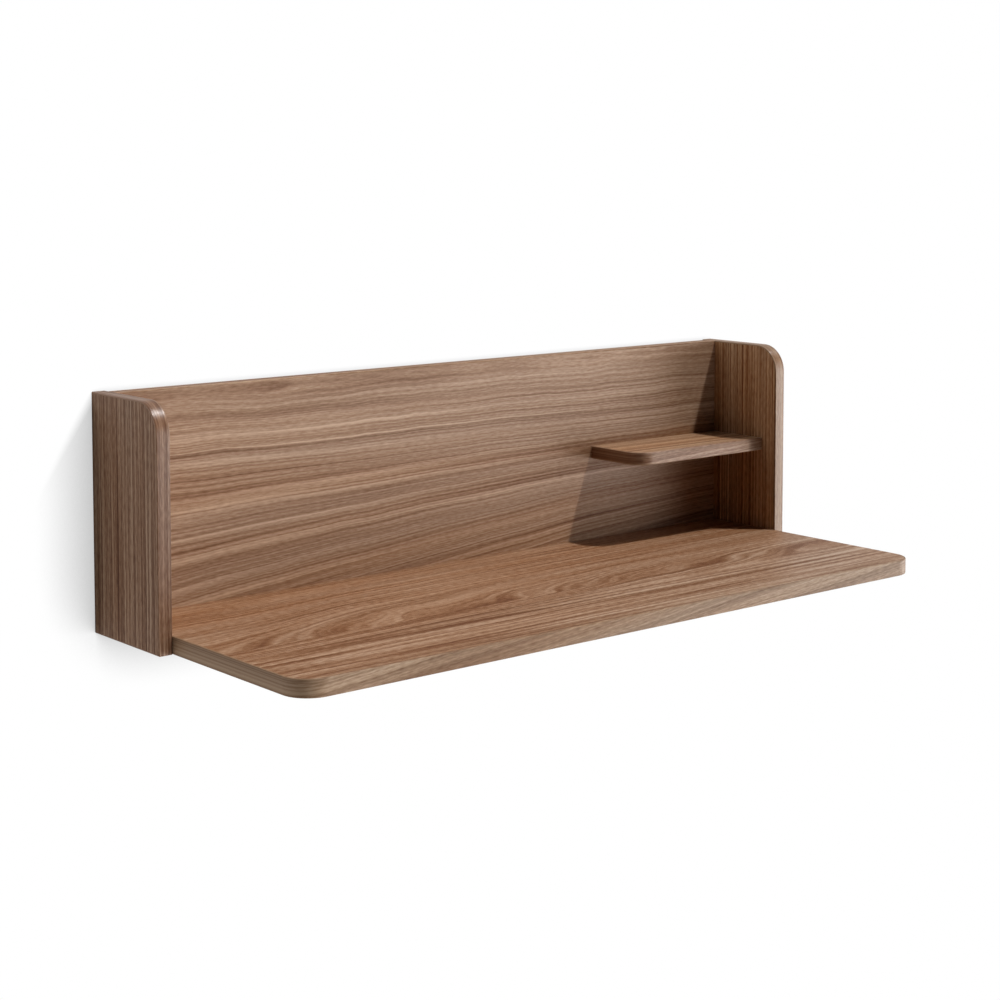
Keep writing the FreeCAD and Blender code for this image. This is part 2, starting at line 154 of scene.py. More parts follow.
AXES = {"X": 0, "Y": 1, "Z": 2}

# Most of a noise lies between these two values.
NOISE_LOW = 0.3
NOISE_HIGH = 0.7

# How often each kind of change comes in a metre, along the grain and across it.
SWAY_RATE = (1.6, 4.0, 1.0)
RIPPLE_RATE = (9.0, 16.0, 1.0)
RISE_RATE = (6.0, 6.0, 1.0)
VIGOUR_RATE = (3.0, 110.0, 1.0)
FLAME_RATE = (2.5, 75.0, 1.0)
PORE_RATE = (70.0, 1700.0, 1.0)
ZONE_RATE = (0.5, 22.0)
BAND_RATE = (0.8, 85.0)
STREAK_RATE = (1.3, 200.0)
THREAD_RATE = (1.8, 420.0)
DASH_RATE = (85.0, 520.0)
FLUSH_RATE = (0.8, 26.0)

# How dark a year's wood is from spring to autumn, and how the width of the years varies.
SEASON = ((0.0, 0.05), (0.45, 0.1), (0.80, 0.7), (0.93, 1.0), (1.0, 0.05))
PACE_RATE = 0.35
PACE_SWING = 1.2

# How far from the heart, in metres, the lines are calm, hushed or crowned.
CALM_REACH = 0.04
HUSH_REACH = 0.07
CROWN_REACH = 0.05

# Tones run from pale wood at a depth of 0 to dark late wood at 1, with the middle tone at MIDDLE_DEPTH.
MIDDLE_DEPTH = 0.4
TONE_STEPS = ((0.0, 42.0), (MIDDLE_DEPTH, 0.0), (0.7, -32.0), (1.0, -60.0))
DARKEST = 4.0
RING_BALANCE = 0.2
FLAME_PALE = -0.25
FLAME_NOISE = (0.38, 0.68)
PORE_NOISE = (0.60, 0.70)
PORE_DARK = 0.12
PORE_DEPTH = 0.00008
THREAD_RELIEF = 0.2
WARMTH = (-3.0, -7.5, -11.0)
FLUSH_SHARE = 0.55
FLUSH_SPREAD = 0.8


def timber(at, depth, taper, ring=0.0075, squeeze=1.0, sway=0.006, ripple=0.0015, rise=0.007, slope=0.0,
           fan=0.0, fan_from=0.0, calm=1.0, crown=2.0, hush=0.4, straight=0.0, warming=0.0, warm_from=0.0):
    """Where the heart of a log lies under a board, in metres, and how rings and colour spread from it.

    The last two set how the tone grows warmer and darker across the board from a line on: partly the veneer's
    own tone, partly painted shade.
    """
    return dict(locals())


def figure(rings, zones, bands, streaks, threads, dashes, crowns=0.0, run=1.0, lean=(0.95, 1.03, 1.03)):
    """How strongly each kind of line shows in a veneer, how often it breaks off and how its colour leans."""
    return dict(locals())


def shades(middle, lean):
    """A run of tones about a middle one, given as screen values, from pale wood to dark late wood."""
    run = []
    for at, step in TONE_STEPS:
        shade = [max(DARKEST, part + step * share) for part, share in zip(middle, lean)]
        run.append((at, screen(*shade)))
    return run


def ring_places(tree, flat, length, width, heart):
    """How far each point lies from the heart of the log, and how far to the side of it."""
    slow = stretched(tree, flat, SWAY_RATE, detail=1.0)
    ripple = stretched(tree, flat, RIPPLE_RATE, detail=1.0)
    sway = worked(tree, "ADD", ranged(tree, slow, -heart["sway"], heart["sway"]),
                  ranged(tree, ripple, -heart["ripple"], heart["ripple"]))
    offset = worked(tree, "ADD", worked(tree, "SUBTRACT", width, heart["at"]), sway)
    offset = worked(tree, "MULTIPLY_ADD", length, -heart["slope"], offset)
    near_side = worked(tree, "MULTIPLY", worked(tree, "MINIMUM", offset, 0.0), heart["squeeze"])
    aside = worked(tree, "ABSOLUTE", worked(tree, "ADD", near_side, worked(tree, "MAXIMUM", offset, 0.0)))
    rise = ranged(tree, stretched(tree, flat, RISE_RATE), -heart["rise"], heart["rise"])
    under = worked(tree, "MULTIPLY_ADD", length, -heart["taper"], heart["depth"])
    under = worked(tree, "ABSOLUTE", worked(tree, "ADD", under, rise))
    reach = worked(tree, "ADD", worked(tree, "POWER", aside, heart["crown"]),
                   worked(tree, "POWER", under, heart["crown"]))
    reach = worked(tree, "POWER", reach, 1.0 / heart["crown"])
    if heart["straight"]:
        beside = ranged(tree, offset, 1.0, 0.0, -heart["straight"], 0.0, "SMOOTHSTEP")
        reach = worked(tree, "MULTIPLY_ADD", worked(tree, "SUBTRACT", aside, reach), beside, reach)
    beyond = worked(tree, "MAXIMUM", worked(tree, "SUBTRACT", reach, heart["fan_from"]), 0.0)
    spread = worked(tree, "MULTIPLY", worked(tree, "MULTIPLY", beyond, heart["fan"]), length)
    return worked(tree, "ADD", reach, spread), offset


def walnut(name, along, across, heart, middle, seed, lines, roughness=(0.42, 0.55), gloss=0.35):
    """Sliced walnut, from the log that it was cut from, its middle tone and the strength of its lines."""
    finish, tree, shader, place = new_finish(name)
    parts = joined(tree, "ShaderNodeSeparateXYZ", {"Vector": place}).outputs
    length, width = parts[AXES[along]], parts[AXES[across]]

    def sheet(second):
        """Each point's place by its length along the grain and a second measure."""
        measures = {"X": length, "Y": second, "Z": seed}
        return joined(tree, "ShaderNodeCombineXYZ", measures).outputs["Vector"]

    def even(way, rate, detail=2.0, run=1.0):
        """Noise spread evenly about nought."""
        noise = stretched(tree, way, (rate[0] * run, rate[1], 1.0), detail)
        return ranged(tree, noise, -1.0, 1.0, NOISE_LOW, NOISE_HIGH)

    flat = sheet(width)
    reach, offset = ring_places(tree, flat, length, width, heart)
    ringwise = sheet(reach)
    grainwise = sheet(offset)

    years = worked(tree, "DIVIDE", reach, heart["ring"])
    pace = joined(tree, "ShaderNodeTexNoise", {"W": years, "Scale": PACE_RATE, "Detail": 2.0},
                  noise_dimensions="1D").outputs["Fac"]
    years = worked(tree, "ADD", years, ranged(tree, pace, -PACE_SWING, PACE_SWING))
    late = toned(tree, worked(tree, "FRACT", years), [(at, (dark,) * 3) for at, dark in SEASON])
    vigour = stretched(tree, ringwise, VIGOUR_RATE, detail=1.0)
    vigour = ranged(tree, vigour, 0.0, 1.0, NOISE_LOW, NOISE_HIGH)
    lively = ranged(tree, offset, 1.0, heart["calm"], -CALM_REACH, CALM_REACH)
    far = worked(tree, "ABSOLUTE", offset)
    clear = worked(tree, "MULTIPLY", ranged(tree, far, heart["hush"], 1.0, 0.0, HUSH_REACH), lively)
    dark_years = worked(tree, "MULTIPLY", worked(tree, "MULTIPLY", late, vigour), clear)

    balance = MIDDLE_DEPTH - RING_BALANCE * lines["rings"]
    depth = worked(tree, "MULTIPLY_ADD", dark_years, lines["rings"], balance)
    run = lines["run"]
    threads = worked(tree, "MULTIPLY", even(ringwise, THREAD_RATE, run=run), clear)
    flames = ranged(tree, stretched(tree, ringwise, FLAME_RATE), FLAME_PALE, 1.0, *FLAME_NOISE)
    layers = {
        "zones": even(ringwise, ZONE_RATE, run=run),
        "bands": worked(tree, "MULTIPLY", even(ringwise, BAND_RATE, 1.0, run), clear),
        "streaks": worked(tree, "MULTIPLY", even(ringwise, STREAK_RATE, 1.0, run), clear),
        "threads": threads,
        "dashes": even(grainwise, DASH_RATE),
        "crowns": worked(tree, "MULTIPLY", flames, ranged(tree, far, 1.0, 0.0, 0.0, CROWN_REACH)),
    }
    for kind, layer in layers.items():
        depth = worked(tree, "MULTIPLY_ADD", layer, lines[kind], depth)
    pores = ranged(tree, stretched(tree, flat, PORE_RATE, detail=1.0), 0.0, 1.0, *PORE_NOISE)
    depth = worked(tree, "MULTIPLY_ADD", pores, PORE_DARK, depth)

    # The tone swings at random over the veneer, and on top of that it tilts across the board, warmer and
    # darker one way: the tilt is partly the veneer's own tone and partly painted shade.
    flush = worked(tree, "MULTIPLY", even(ringwise, FLUSH_RATE, 1.0), FLUSH_SHARE)
    past = worked(tree, "SUBTRACT", width, heart["warm_from"])
    flush = worked(tree, "MULTIPLY_ADD", past, heart["warming"], flush)
    cool = toned(tree, depth, shades([part - turn for part, turn in zip(middle, WARMTH)], lines["lean"]))
    warm = toned(tree, depth, shades([part + turn for part, turn in zip(middle, WARMTH)], lines["lean"]))
    share = ranged(tree, flush, 0.0, 1.0, -FLUSH_SPREAD, FLUSH_SPREAD)
    tint = joined(tree, "ShaderNodeMix", {"Factor": share, 6: cool, 7: warm}, data_type="RGBA").outputs[2]
    shader.inputs["Specular IOR Level"].default_value = gloss
    grooves = worked(tree, "SUBTRACT", worked(tree, "MULTIPLY", threads, THREAD_RELIEF), pores)
    surface(tree, shader, tint, ranged(tree, depth, *roughness), grooves, PORE_DEPTH)
    return finish


FINE = figure(rings=0.34, zones=0.03, bands=0.12, streaks=0.2, threads=0.24, dashes=0.16)
BACK = figure(rings=0.3, zones=0.03, bands=0.17, streaks=0.14, threads=0.18, dashes=0.12, crowns=0.4)
BROAD = figure(rings=0.34, zones=0.02, bands=0.19, streaks=0.27, threads=0.29, dashes=0.23, crowns=0.4,
               run=2.2, lean=(0.86, 1.03, 1.15))
OUTER = figure(rings=0.22, zones=0.02, bands=0.03, streaks=0.22, threads=0.28, dashes=0.16, run=1.6)
INNER = figure(rings=0.3, zones=0.04, bands=0.1, streaks=0.26, threads=0.34, dashes=0.16)

outer_log = timber(at=0.35, depth=0.03, taper=0.01, ring=0.0062)
inner_log = timber(at=0.3, depth=0.03, taper=0.01, ring=0.0062)
# The back panel grows warmer and darker towards its foot and the desktop towards its rear: partly the
# veneer's tone, partly painted shade in the corner where they meet.
back_log = timber(at=0.064, depth=0.01, taper=0.0, ring=0.0068, rise=0.012, fan=0.55, fan_from=0.1, crown=1.4,
                  hush=0.35, warming=-4.0, warm_from=-0.07)
top_log = timber(at=-0.266, depth=0.065, taper=0.1, ring=0.0065, squeeze=0.45, rise=0.014, calm=0.6,
                 hush=0.8, straight=0.05, warming=3.0, warm_from=-0.22)
under_log = timber(at=-0.18, depth=0.055, taper=0.08, ring=0.0065, squeeze=0.6, rise=0.012, calm=0.7,
                   hush=0.7)
shelf_log = timber(at=0.12, depth=0.065, taper=0.05)

dressed(walnut("outer_walnut", "Z", "Y", outer_log, (131, 95, 68), 3.0, OUTER),
        "left_side_outer_veneer", "right_side_outer_veneer")
dressed(walnut("inner_walnut", "Z", "Y", inner_log, (159, 118, 82), 7.0, INNER, gloss=0.22),
        "left_side_inner_veneer", "right_side_inner_veneer")
dressed(walnut("back_walnut", "X", "Z", back_log, (158, 123, 95), 11.0, BACK, gloss=0.28),
        "back_panel_front_veneer", "back_panel_rear_veneer")
dressed(walnut("top_walnut", "X", "Y", top_log, (143, 104, 73), 23.0, BROAD), "desktop_top_veneer")
dressed(walnut("under_walnut", "X", "Y", under_log, (134, 96, 67), 41.0, FINE), "desktop_bottom_veneer")
dressed(walnut("shelf_walnut", "X", "Y", shelf_log, (151, 112, 80), 31.0, FINE),
        "shelf_top_veneer", "shelf_bottom_veneer")


# Edge bands. Strips of solid walnut glued to the edges that show, sanded to a small round at each arris and
# lacquered. Those of the side panels are a little glossier, so their round corners catch the light.

EDGE = figure(rings=0.2, zones=0.03, bands=0.08, streaks=0.14, threads=0.2, dashes=0.14)
SOFT = figure(rings=0.1, zones=0.05, bands=0.15, streaks=0.1, threads=0.12, dashes=0.12)
POLISHED = (0.26, 0.38)
upright_log = timber(at=0.9, depth=0.05, taper=0.0)
desk_edge_log = timber(at=0.2, depth=0.05, taper=0.02, slope=0.1, sway=0.012)
shelf_edge_log = timber(at=0.2, depth=0.05, taper=0.02, slope=0.05)
back_edge_log = timber(at=0.15, depth=0.05, taper=0.02)

# The left band is darker than the right one: partly a different tone of wood, partly painted shade on the
# left panel's front edge.
dressed(walnut("left_band", "Z", "X", upright_log, (121, 85, 60), 51.0, EDGE, POLISHED, gloss=0.42),
        "left_side_edge_band", "left_side_bottom_band")
dressed(walnut("right_band", "Z", "X", upright_log, (135, 103, 76), 53.0, EDGE, POLISHED, gloss=0.36),
        "right_side_edge_band", "right_side_bottom_band")
dressed(walnut("desk_band", "X", "Z", desk_edge_log, (137, 107, 80), 61.0, SOFT, gloss=0.25),
        "desktop_edge_band")
dressed(walnut("back_band", "X", "Y", back_edge_log, (135, 101, 73), 71.0, EDGE, gloss=0.25),
        "back_panel_edge_band")
dressed(walnut("shelf_band", "X", "Z", shelf_edge_log, (146, 113, 88), 67.0, EDGE),
        "shelf_edge_band")


# Dowels. Beech pins, fluted so that glue can escape, with bevelled ends. They are glued into one board and
# line up the next one before its cam locks are drawn tight.

RIGHT = Vector((1.0, 0.0, 0.0))
REAR = Vector((0.0, 1.0, 0.0))
UP = Vector((0.0, 0.0, 1.0))
SMOOTH_ANGLE = math.radians(40.0)
FACING = 0.9
MERGE_GAP = 0.000001
SORT_DIGITS = 4

DOWEL_RADIUS = 0.004
DOWEL_LENGTH = 0.03
DOWEL_BEVEL = 0.001
DOWEL_FLUTES = 16
FACES_PER_FLUTE = 3
FLUTE_RIM = 0.00008
FLUTE_DEPTH = 0.00035

# The way into the face of the board that holds the cam locks of each joint.
FROM_FACE = {"desktop_end": UP, "back_end": -REAR, "back_foot": -REAR, "shelf_end": UP}


def from_end(joint, middle):
    """The way into the end or the foot of the board that holds the cam locks of a joint."""
    if joint == "back_foot":
        return UP
    return -RIGHT if middle.x > 0.0 else RIGHT


def turned(name, sides, steps):
    """A round piece drawn out of a disc along Z; each step is a height and a radius."""
    height, radius = steps[0]
    bpy.ops.object.select_all(action="DESELECT")
    bpy.ops.mesh.primitive_circle_add(
        vertices=sides, radius=radius, fill_type="NGON", location=(0.0, 0.0, height))
    bpy.ops.object.transform_apply(location=True, rotation=True, scale=True)
    piece = bpy.context.active_object
    piece.name = name
    bpy.ops.object.mode_set(mode="EDIT")
    bpy.ops.mesh.select_mode(type="FACE")
    bpy.ops.mesh.select_all(action="SELECT")
    for next_height, next_radius in steps[1:]:
        bpy.ops.mesh.extrude_region_move(TRANSFORM_OT_translate={"value": (0.0, 0.0, next_height - height)})
        growth = next_radius / radius
        bpy.ops.transform.resize(value=(growth, growth, 1.0), center_override=(0.0, 0.0, next_height))
        height, radius = next_height, next_radius
    bpy.ops.mesh.select_all(action="SELECT")
    bpy.ops.mesh.normals_make_consistent(inside=False)
    bpy.ops.object.mode_set(mode="OBJECT")
    return piece


def picked(piece, mode, wanted):
    """Goes on editing a piece with only those of its vertices, edges or faces selected that are wanted."""
    bpy.ops.object.mode_set(mode="EDIT")
    bpy.ops.mesh.select_mode(type=mode)
    bpy.ops.mesh.select_all(action="DESELECT")
    bpy.ops.object.mode_set(mode="OBJECT")
    kinds = {"VERT": piece.data.vertices, "EDGE": piece.data.edges, "FACE": piece.data.polygons}
    for part in kinds[mode]:
        part.select = wanted(part)
    bpy.ops.object.mode_set(mode="EDIT")


def active(piece):
    """Selects one object alone."""
    bpy.ops.object.select_all(action="DESELECT")
    piece.select_set(True)
    bpy.context.view_layer.objects.active = piece


def smoothed(piece):
    """Ends the editing of a piece and smooths its round faces."""
    bpy.ops.object.mode_set(mode="OBJECT")
    active(piece)
    bpy.ops.object.shade_smooth_by_angle(angle=SMOOTH_ANGLE)


def copied(original, name):
    """A copy of an object with a mesh of its own."""
    copy = original.copy()
    copy.data = original.data.copy()
    copy.name = name
    copy.data.name = name
    bpy.context.scene.collection.objects.link(copy)
    active(copy)
    return copy


def solids_of(node):
    """The lowest and highest corner of each solid in a CAD node, found on a copy that is taken apart."""
    copied(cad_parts[node], f"{node}_apart")
    bpy.ops.object.mode_set(mode="EDIT")
    bpy.ops.mesh.select_all(action="SELECT")
    bpy.ops.mesh.remove_doubles(threshold=MERGE_GAP)
    bpy.ops.mesh.separate(type="LOOSE")
    bpy.ops.object.mode_set(mode="OBJECT")
    boxes = []
    for solid in list(bpy.context.selected_objects):
        points = [vertex.co for vertex in solid.data.vertices]
        low, high = [Vector([pick(measures) for measures in zip(*points)]) for pick in (min, max)]
        boxes.append((low, high))
        bpy.data.objects.remove(solid)
    return sorted(boxes, key=lambda corners: [round(part, SORT_DIGITS) for part in corners[0]])


def fitted(pattern, node, finish, slot, turn):
    """Puts a copy of a pattern in the place of each solid of a CAD node.

    A pattern starts at the origin and reaches along Z. turn gives the ways that its Z and its X take, from
    the middle of the solid.
    """
    for number, (low, high) in enumerate(solids_of(node), start=1):
        middle = (low + high) / 2
        way, side = turn(middle)
        half = abs((high - low).dot(way)) / 2
        piece = copied(pattern, f"{node}_{number}")
        turning = Matrix((side, way.cross(side), way)).transposed().to_4x4()
        piece.matrix_world = Matrix.Translation(middle - way * half) @ turning
        bpy.ops.object.transform_apply(location=True, rotation=True, scale=True)
        piece.data.materials.append(finish)
        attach(piece, "desk")
        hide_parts(node)


def sideways(face):
    """Whether a face of a piece that stands along Z looks to the side."""
    return abs(face.normal.z) < 1.0 - FACING


def in_flute(face):
    """Whether a face of the dowel's side is one of those that are pressed in."""
    sector = math.atan2(face.center.y, face.center.x) / math.tau * FACES_PER_FLUTE * DOWEL_FLUTES
    return sideways(face) and math.floor(sector) % FACES_PER_FLUTE == 0


FLECK_RATE = {"along": 220.0, "across": 1100.0}
FLECK_NOISE = (0.56, 0.68)
FLECK_DARK = 0.3
BEECH_RATE = {"along": 16.0, "across": 500.0}
BEECH_TONES = ((0.3, screen(221, 189, 148)), (0.6, screen(203, 165, 122)), (0.9, screen(158, 115, 76)))
BEECH_ROUGHNESS = (0.55, 0.75)
BEECH_DEPTH = 0.00006


def grain_rate(axis, along, across):
    """How often a change comes in a metre on each axis, where the grain runs along one of them."""
    rate = [across, across, across]
    rate[AXES[axis]] = along
    return rate


def beech(name, axis):
    """Raw beech: pale and even, with short darker flecks along the grain."""
    finish, tree, shader, place = new_finish(name)
    flecks = stretched(tree, place, grain_rate(axis, **FLECK_RATE), detail=1.0)
    flecks = ranged(tree, flecks, 0.0, FLECK_DARK, *FLECK_NOISE)
    grain = worked(tree, "ADD", stretched(tree, place, grain_rate(axis, **BEECH_RATE)), flecks)
    roughness = ranged(tree, grain, *BEECH_ROUGHNESS)
    surface(tree, shader, toned(tree, grain, BEECH_TONES), roughness, grain, BEECH_DEPTH)
    return finish


dowel = turned("dowel", FACES_PER_FLUTE * DOWEL_FLUTES, [
    (0.0, DOWEL_RADIUS - DOWEL_BEVEL), (DOWEL_BEVEL, DOWEL_RADIUS),
    (DOWEL_LENGTH - DOWEL_BEVEL, DOWEL_RADIUS), (DOWEL_LENGTH, DOWEL_RADIUS - DOWEL_BEVEL),
])
picked(dowel, "FACE", in_flute)
bpy.ops.mesh.inset(thickness=FLUTE_RIM, use_individual=True)
bpy.ops.transform.shrink_fatten(value=-FLUTE_DEPTH)
smoothed(dowel)

lying_beech = beech("lying_beech", "X")
standing_beech = beech("standing_beech", "Z")
for joint in FROM_FACE:
    wood = standing_beech if joint == "back_foot" else lying_beech
    fitted(dowel, f"{joint}_dowels", wood, "dowel",
           lambda middle: (from_end(joint, middle), FROM_FACE[joint]))
bpy.data.objects.remove(dowel)


# Cam bolts. Steel, turned and zinc plated: a coarse thread that is driven into the panel, a collar that stops
# at its face, a neck, and a head with a cross recess that the cam lock takes hold of.

ROUND_SIDES = 36
THREAD_STEPS = 24

BOLT_HEAD_RADIUS = 0.0037
BOLT_HEAD_LENGTH = 0.004
BOLT_NECK_RADIUS = 0.0023
BOLT_NECK_END = 0.0096
BOLT_COLLAR_RADIUS = 0.0035
BOLT_COLLAR_END = 0.026
BOLT_LENGTH = 0.037
BOLT_CREST_RADIUS = 0.0025
BOLT_ROOT_RADIUS = 0.0018
BOLT_TIP_RADIUS = 0.0008
BOLT_PITCH = 0.0024
BOLT_TURNS = 3
BOLT_BEVEL = 0.0004
BOLT_RECESS = {"length": 0.0042, "width": 0.001, "depth": 0.0016}

# The ridge of a thread: its foot as a share of the root, its width as a share of the pitch, and its crest as
# a share of that width.
RIDGE_FOOT = 0.9
RIDGE_WIDTH = 0.8
RIDGE_CREST = 0.15
RECESS_NARROWING = 0.6

CLOUDS_PER_METRE = (240.0, 240.0, 240.0)
TURNED_LINES_PER_METRE = (2400.0, 2400.0, 2400.0)
ZINC_PLATE_TONES = ((0.3, (0.50, 0.52, 0.55)), (0.55, (0.62, 0.63, 0.64)), (0.8, (0.68, 0.66, 0.60)))
ZINC_PLATE_ROUGHNESS = (0.22, 0.42)
TURNED_LINE_DEPTH = 0.00002


def threaded(piece, root, crest, start, pitch, turns):
    """Winds a ridge round a piece, its foot let into the root, and joins it on."""
    foot = root * RIDGE_FOOT
    half_way = (crest + foot) / 2
    bpy.ops.object.select_all(action="DESELECT")
    bpy.ops.mesh.primitive_plane_add(size=1.0, rotation=(math.radians(90.0), 0.0, 0.0))
    ridge = bpy.context.active_object
    ridge.scale = (crest - foot, pitch * RIDGE_WIDTH, 1.0)
    ridge.location = (half_way, 0.0, start)
    bpy.ops.object.transform_apply(location=True, rotation=True, scale=True)
    picked(ridge, "VERT", lambda vertex: vertex.co.x > half_way)
    bpy.ops.transform.resize(value=(1.0, 1.0, RIDGE_CREST), center_override=(crest, 0.0, start))
    bpy.ops.mesh.select_all(action="SELECT")
    bpy.ops.mesh.delete(type="ONLY_FACE")
    bpy.ops.object.mode_set(mode="OBJECT")
    bpy.ops.object.modifier_add(type="SCREW")
    winding = ridge.modifiers[-1]
    winding.axis = "Z"
    winding.screw_offset = pitch
    winding.iterations = turns
    winding.steps = THREAD_STEPS
    winding.render_steps = THREAD_STEPS
    bpy.ops.object.modifier_apply(modifier=winding.name)
    bpy.ops.object.mode_set(mode="EDIT")
    bpy.ops.mesh.select_all(action="SELECT")
    bpy.ops.mesh.fill_holes(sides=4)
    bpy.ops.mesh.normals_make_consistent(inside=False)
    bpy.ops.object.mode_set(mode="OBJECT")
    active(piece)
    ridge.select_set(True)
    bpy.ops.object.join()


def cross_block(length, width, low, high, narrowing):
    """A block in the shape of a cross that stands along Z and is narrower at its high end."""
    bpy.ops.object.select_all(action="DESELECT")
    bpy.ops.mesh.primitive_cube_add(
        size=1.0, scale=(width, width, high - low), location=(0.0, 0.0, (low + high) / 2))
    bpy.ops.object.transform_apply(location=True, rotation=True, scale=True)
    block = bpy.context.active_object
    picked(block, "FACE", sideways)
    bpy.ops.mesh.extrude_faces_move(TRANSFORM_OT_shrink_fatten={"value": (length - width) / 2})
    picked(block, "FACE", lambda face: face.normal.z > FACING)
    bpy.ops.transform.resize(value=(narrowing, narrowing, 1.0), center_override=(0.0, 0.0, high))
    bpy.ops.object.mode_set(mode="OBJECT")
    return block


def cut_out(piece, tool):
    """Cuts the shape of a tool out of a piece."""
    active(piece)
    bpy.ops.object.modifier_add(type="BOOLEAN")
    cut = piece.modifiers[-1]
    cut.operation = "DIFFERENCE"
    cut.solver = "EXACT"
    cut.object = tool
    bpy.ops.object.modifier_apply(modifier=cut.name)
    bpy.data.objects.remove(tool)


def cross_recess(piece, length, width, depth):
    """Cuts a cross recess into the end of a piece that it is driven from."""
    cut_out(piece, cross_block(length, width, -depth / 4, depth, RECESS_NARROWING))


def zinc_plate():
    """Bright zinc plate: a cool, slightly clouded metal with fine lines from turning."""
    finish, tree, shader, place = new_finish("zinc_plate")
    clouds = stretched(tree, place, CLOUDS_PER_METRE)
    lines = stretched(tree, place, TURNED_LINES_PER_METRE, detail=3.0)
    shader.inputs["Metallic"].default_value = 1.0
    roughness = ranged(tree, lines, *ZINC_PLATE_ROUGHNESS, NOISE_LOW, NOISE_HIGH)
    surface(tree, shader, toned(tree, clouds, ZINC_PLATE_TONES), roughness, lines, TURNED_LINE_DEPTH)
    return finish


bolt = turned("cam_bolt", ROUND_SIDES, [
    (0.0, BOLT_HEAD_RADIUS - BOLT_BEVEL), (BOLT_BEVEL, BOLT_HEAD_RADIUS),
    (BOLT_HEAD_LENGTH - BOLT_BEVEL, BOLT_HEAD_RADIUS), (BOLT_HEAD_LENGTH, BOLT_HEAD_RADIUS - BOLT_BEVEL),
    (BOLT_HEAD_LENGTH, BOLT_NECK_RADIUS), (BOLT_NECK_END, BOLT_NECK_RADIUS),
    (BOLT_NECK_END, BOLT_COLLAR_RADIUS - BOLT_BEVEL), (BOLT_NECK_END + BOLT_BEVEL, BOLT_COLLAR_RADIUS),
    (BOLT_COLLAR_END - BOLT_BEVEL, BOLT_COLLAR_RADIUS), (BOLT_COLLAR_END, BOLT_COLLAR_RADIUS - BOLT_BEVEL),
    (BOLT_COLLAR_END, BOLT_ROOT_RADIUS), (BOLT_LENGTH - BOLT_ROOT_RADIUS, BOLT_ROOT_RADIUS),
    (BOLT_LENGTH, BOLT_TIP_RADIUS),
])
cross_recess(bolt, **BOLT_RECESS)
threaded(bolt, BOLT_ROOT_RADIUS, BOLT_CREST_RADIUS, BOLT_COLLAR_END + BOLT_PITCH / 4, BOLT_PITCH, BOLT_TURNS)
smoothed(bolt)

plated_steel = zinc_plate()
for joint in FROM_FACE:
    fitted(bolt, f"{joint}_cam_bolts", plated_steel, "steel",
           lambda middle: (-from_end(joint, middle), FROM_FACE[joint]))
bpy.data.objects.remove(bolt)


# Cam locks. Zinc cups, cast in a die and let into the board flush with its face. A half turn with a
# screwdriver draws the head of the bolt in; an arrow on the face shows where the bolt comes from.

LOCK_SIDES = 64
LOCK_RADIUS = 0.0075
LOCK_HEIGHT = 0.013
LOCK_BEVEL = 0.0005
LOCK_RIM = 0.0009
LOCK_FACE_SINK = 0.0004
LOCK_FLOOR = 0.0035
CUP_RADIUS = 0.0043
CUP_BEVEL = 0.0005
SLOT_AXIS = 0.0095
SLOT_RADIUS = 0.0024
SLOT_ROUNDING = 0.98
SLOT_SEGMENTS = 8
ARROW_RADIUS = 0.0011
ARROW_PLACE = 0.0048
ARROW_SPREAD = 1.3
LOCK_RECESS = {"length": 0.0078, "width": 0.0018, "depth": 0.0024}
OVERRUN = 0.001

MOTTLE_PER_METRE = (420.0, 420.0, 420.0)
CAST_SKIN_PER_METRE = (3200.0, 3200.0, 3200.0)
CAST_ZINC_TONES = ((0.3, (0.36, 0.37, 0.38)), (0.7, (0.56, 0.56, 0.57)))
CAST_ZINC_ROUGHNESS = (0.58, 0.4)
CAST_SKIN_DEPTH = 0.00005


def bolt_slot():
    """The slot that the neck of a bolt comes in by: open towards the rim, with a round bottom."""
    low = SLOT_AXIS - SLOT_RADIUS
    high = LOCK_HEIGHT + OVERRUN
    reach = LOCK_RADIUS + OVERRUN
    bpy.ops.object.select_all(action="DESELECT")
    bpy.ops.mesh.primitive_cube_add(
        size=1.0, scale=(reach, 2 * SLOT_RADIUS, high - low), location=(-reach / 2, 0.0, (low + high) / 2))
    bpy.ops.object.transform_apply(location=True, rotation=True, scale=True)
    slot = bpy.context.active_object

    def at_bottom(edge):
        """Whether an edge of the slot runs along its bottom."""
        first, second = [slot.data.vertices[end].co for end in edge.vertices]
        return max(first.z, second.z) < SLOT_AXIS and abs(first.x - second.x) > SLOT_RADIUS

    picked(slot, "EDGE", at_bottom)
    bpy.ops.mesh.bevel(offset=SLOT_RADIUS * SLOT_ROUNDING, segments=SLOT_SEGMENTS, affect="EDGES")
    bpy.ops.object.mode_set(mode="OBJECT")
    return slot


def arrow_head():
    """A flat triangle that points to the side that the bolt comes from."""
    bpy.ops.object.select_all(action="DESELECT")
    bpy.ops.mesh.primitive_cylinder_add(vertices=3, radius=ARROW_RADIUS, depth=3 * LOCK_FACE_SINK)
    arrow = bpy.context.active_object
    arrow.rotation_euler = (0.0, 0.0, math.radians(90.0))
    arrow.location = (-ARROW_PLACE, 0.0, LOCK_FACE_SINK / 2)
    bpy.ops.object.transform_apply(location=True, rotation=True, scale=True)
    picked(arrow, "VERT", lambda vertex: vertex.co.x > -ARROW_PLACE)
    bpy.ops.transform.resize(value=(1.0, ARROW_SPREAD, 1.0), center_override=(-ARROW_PLACE, 0.0, 0.0))
    bpy.ops.object.mode_set(mode="OBJECT")
    return arrow


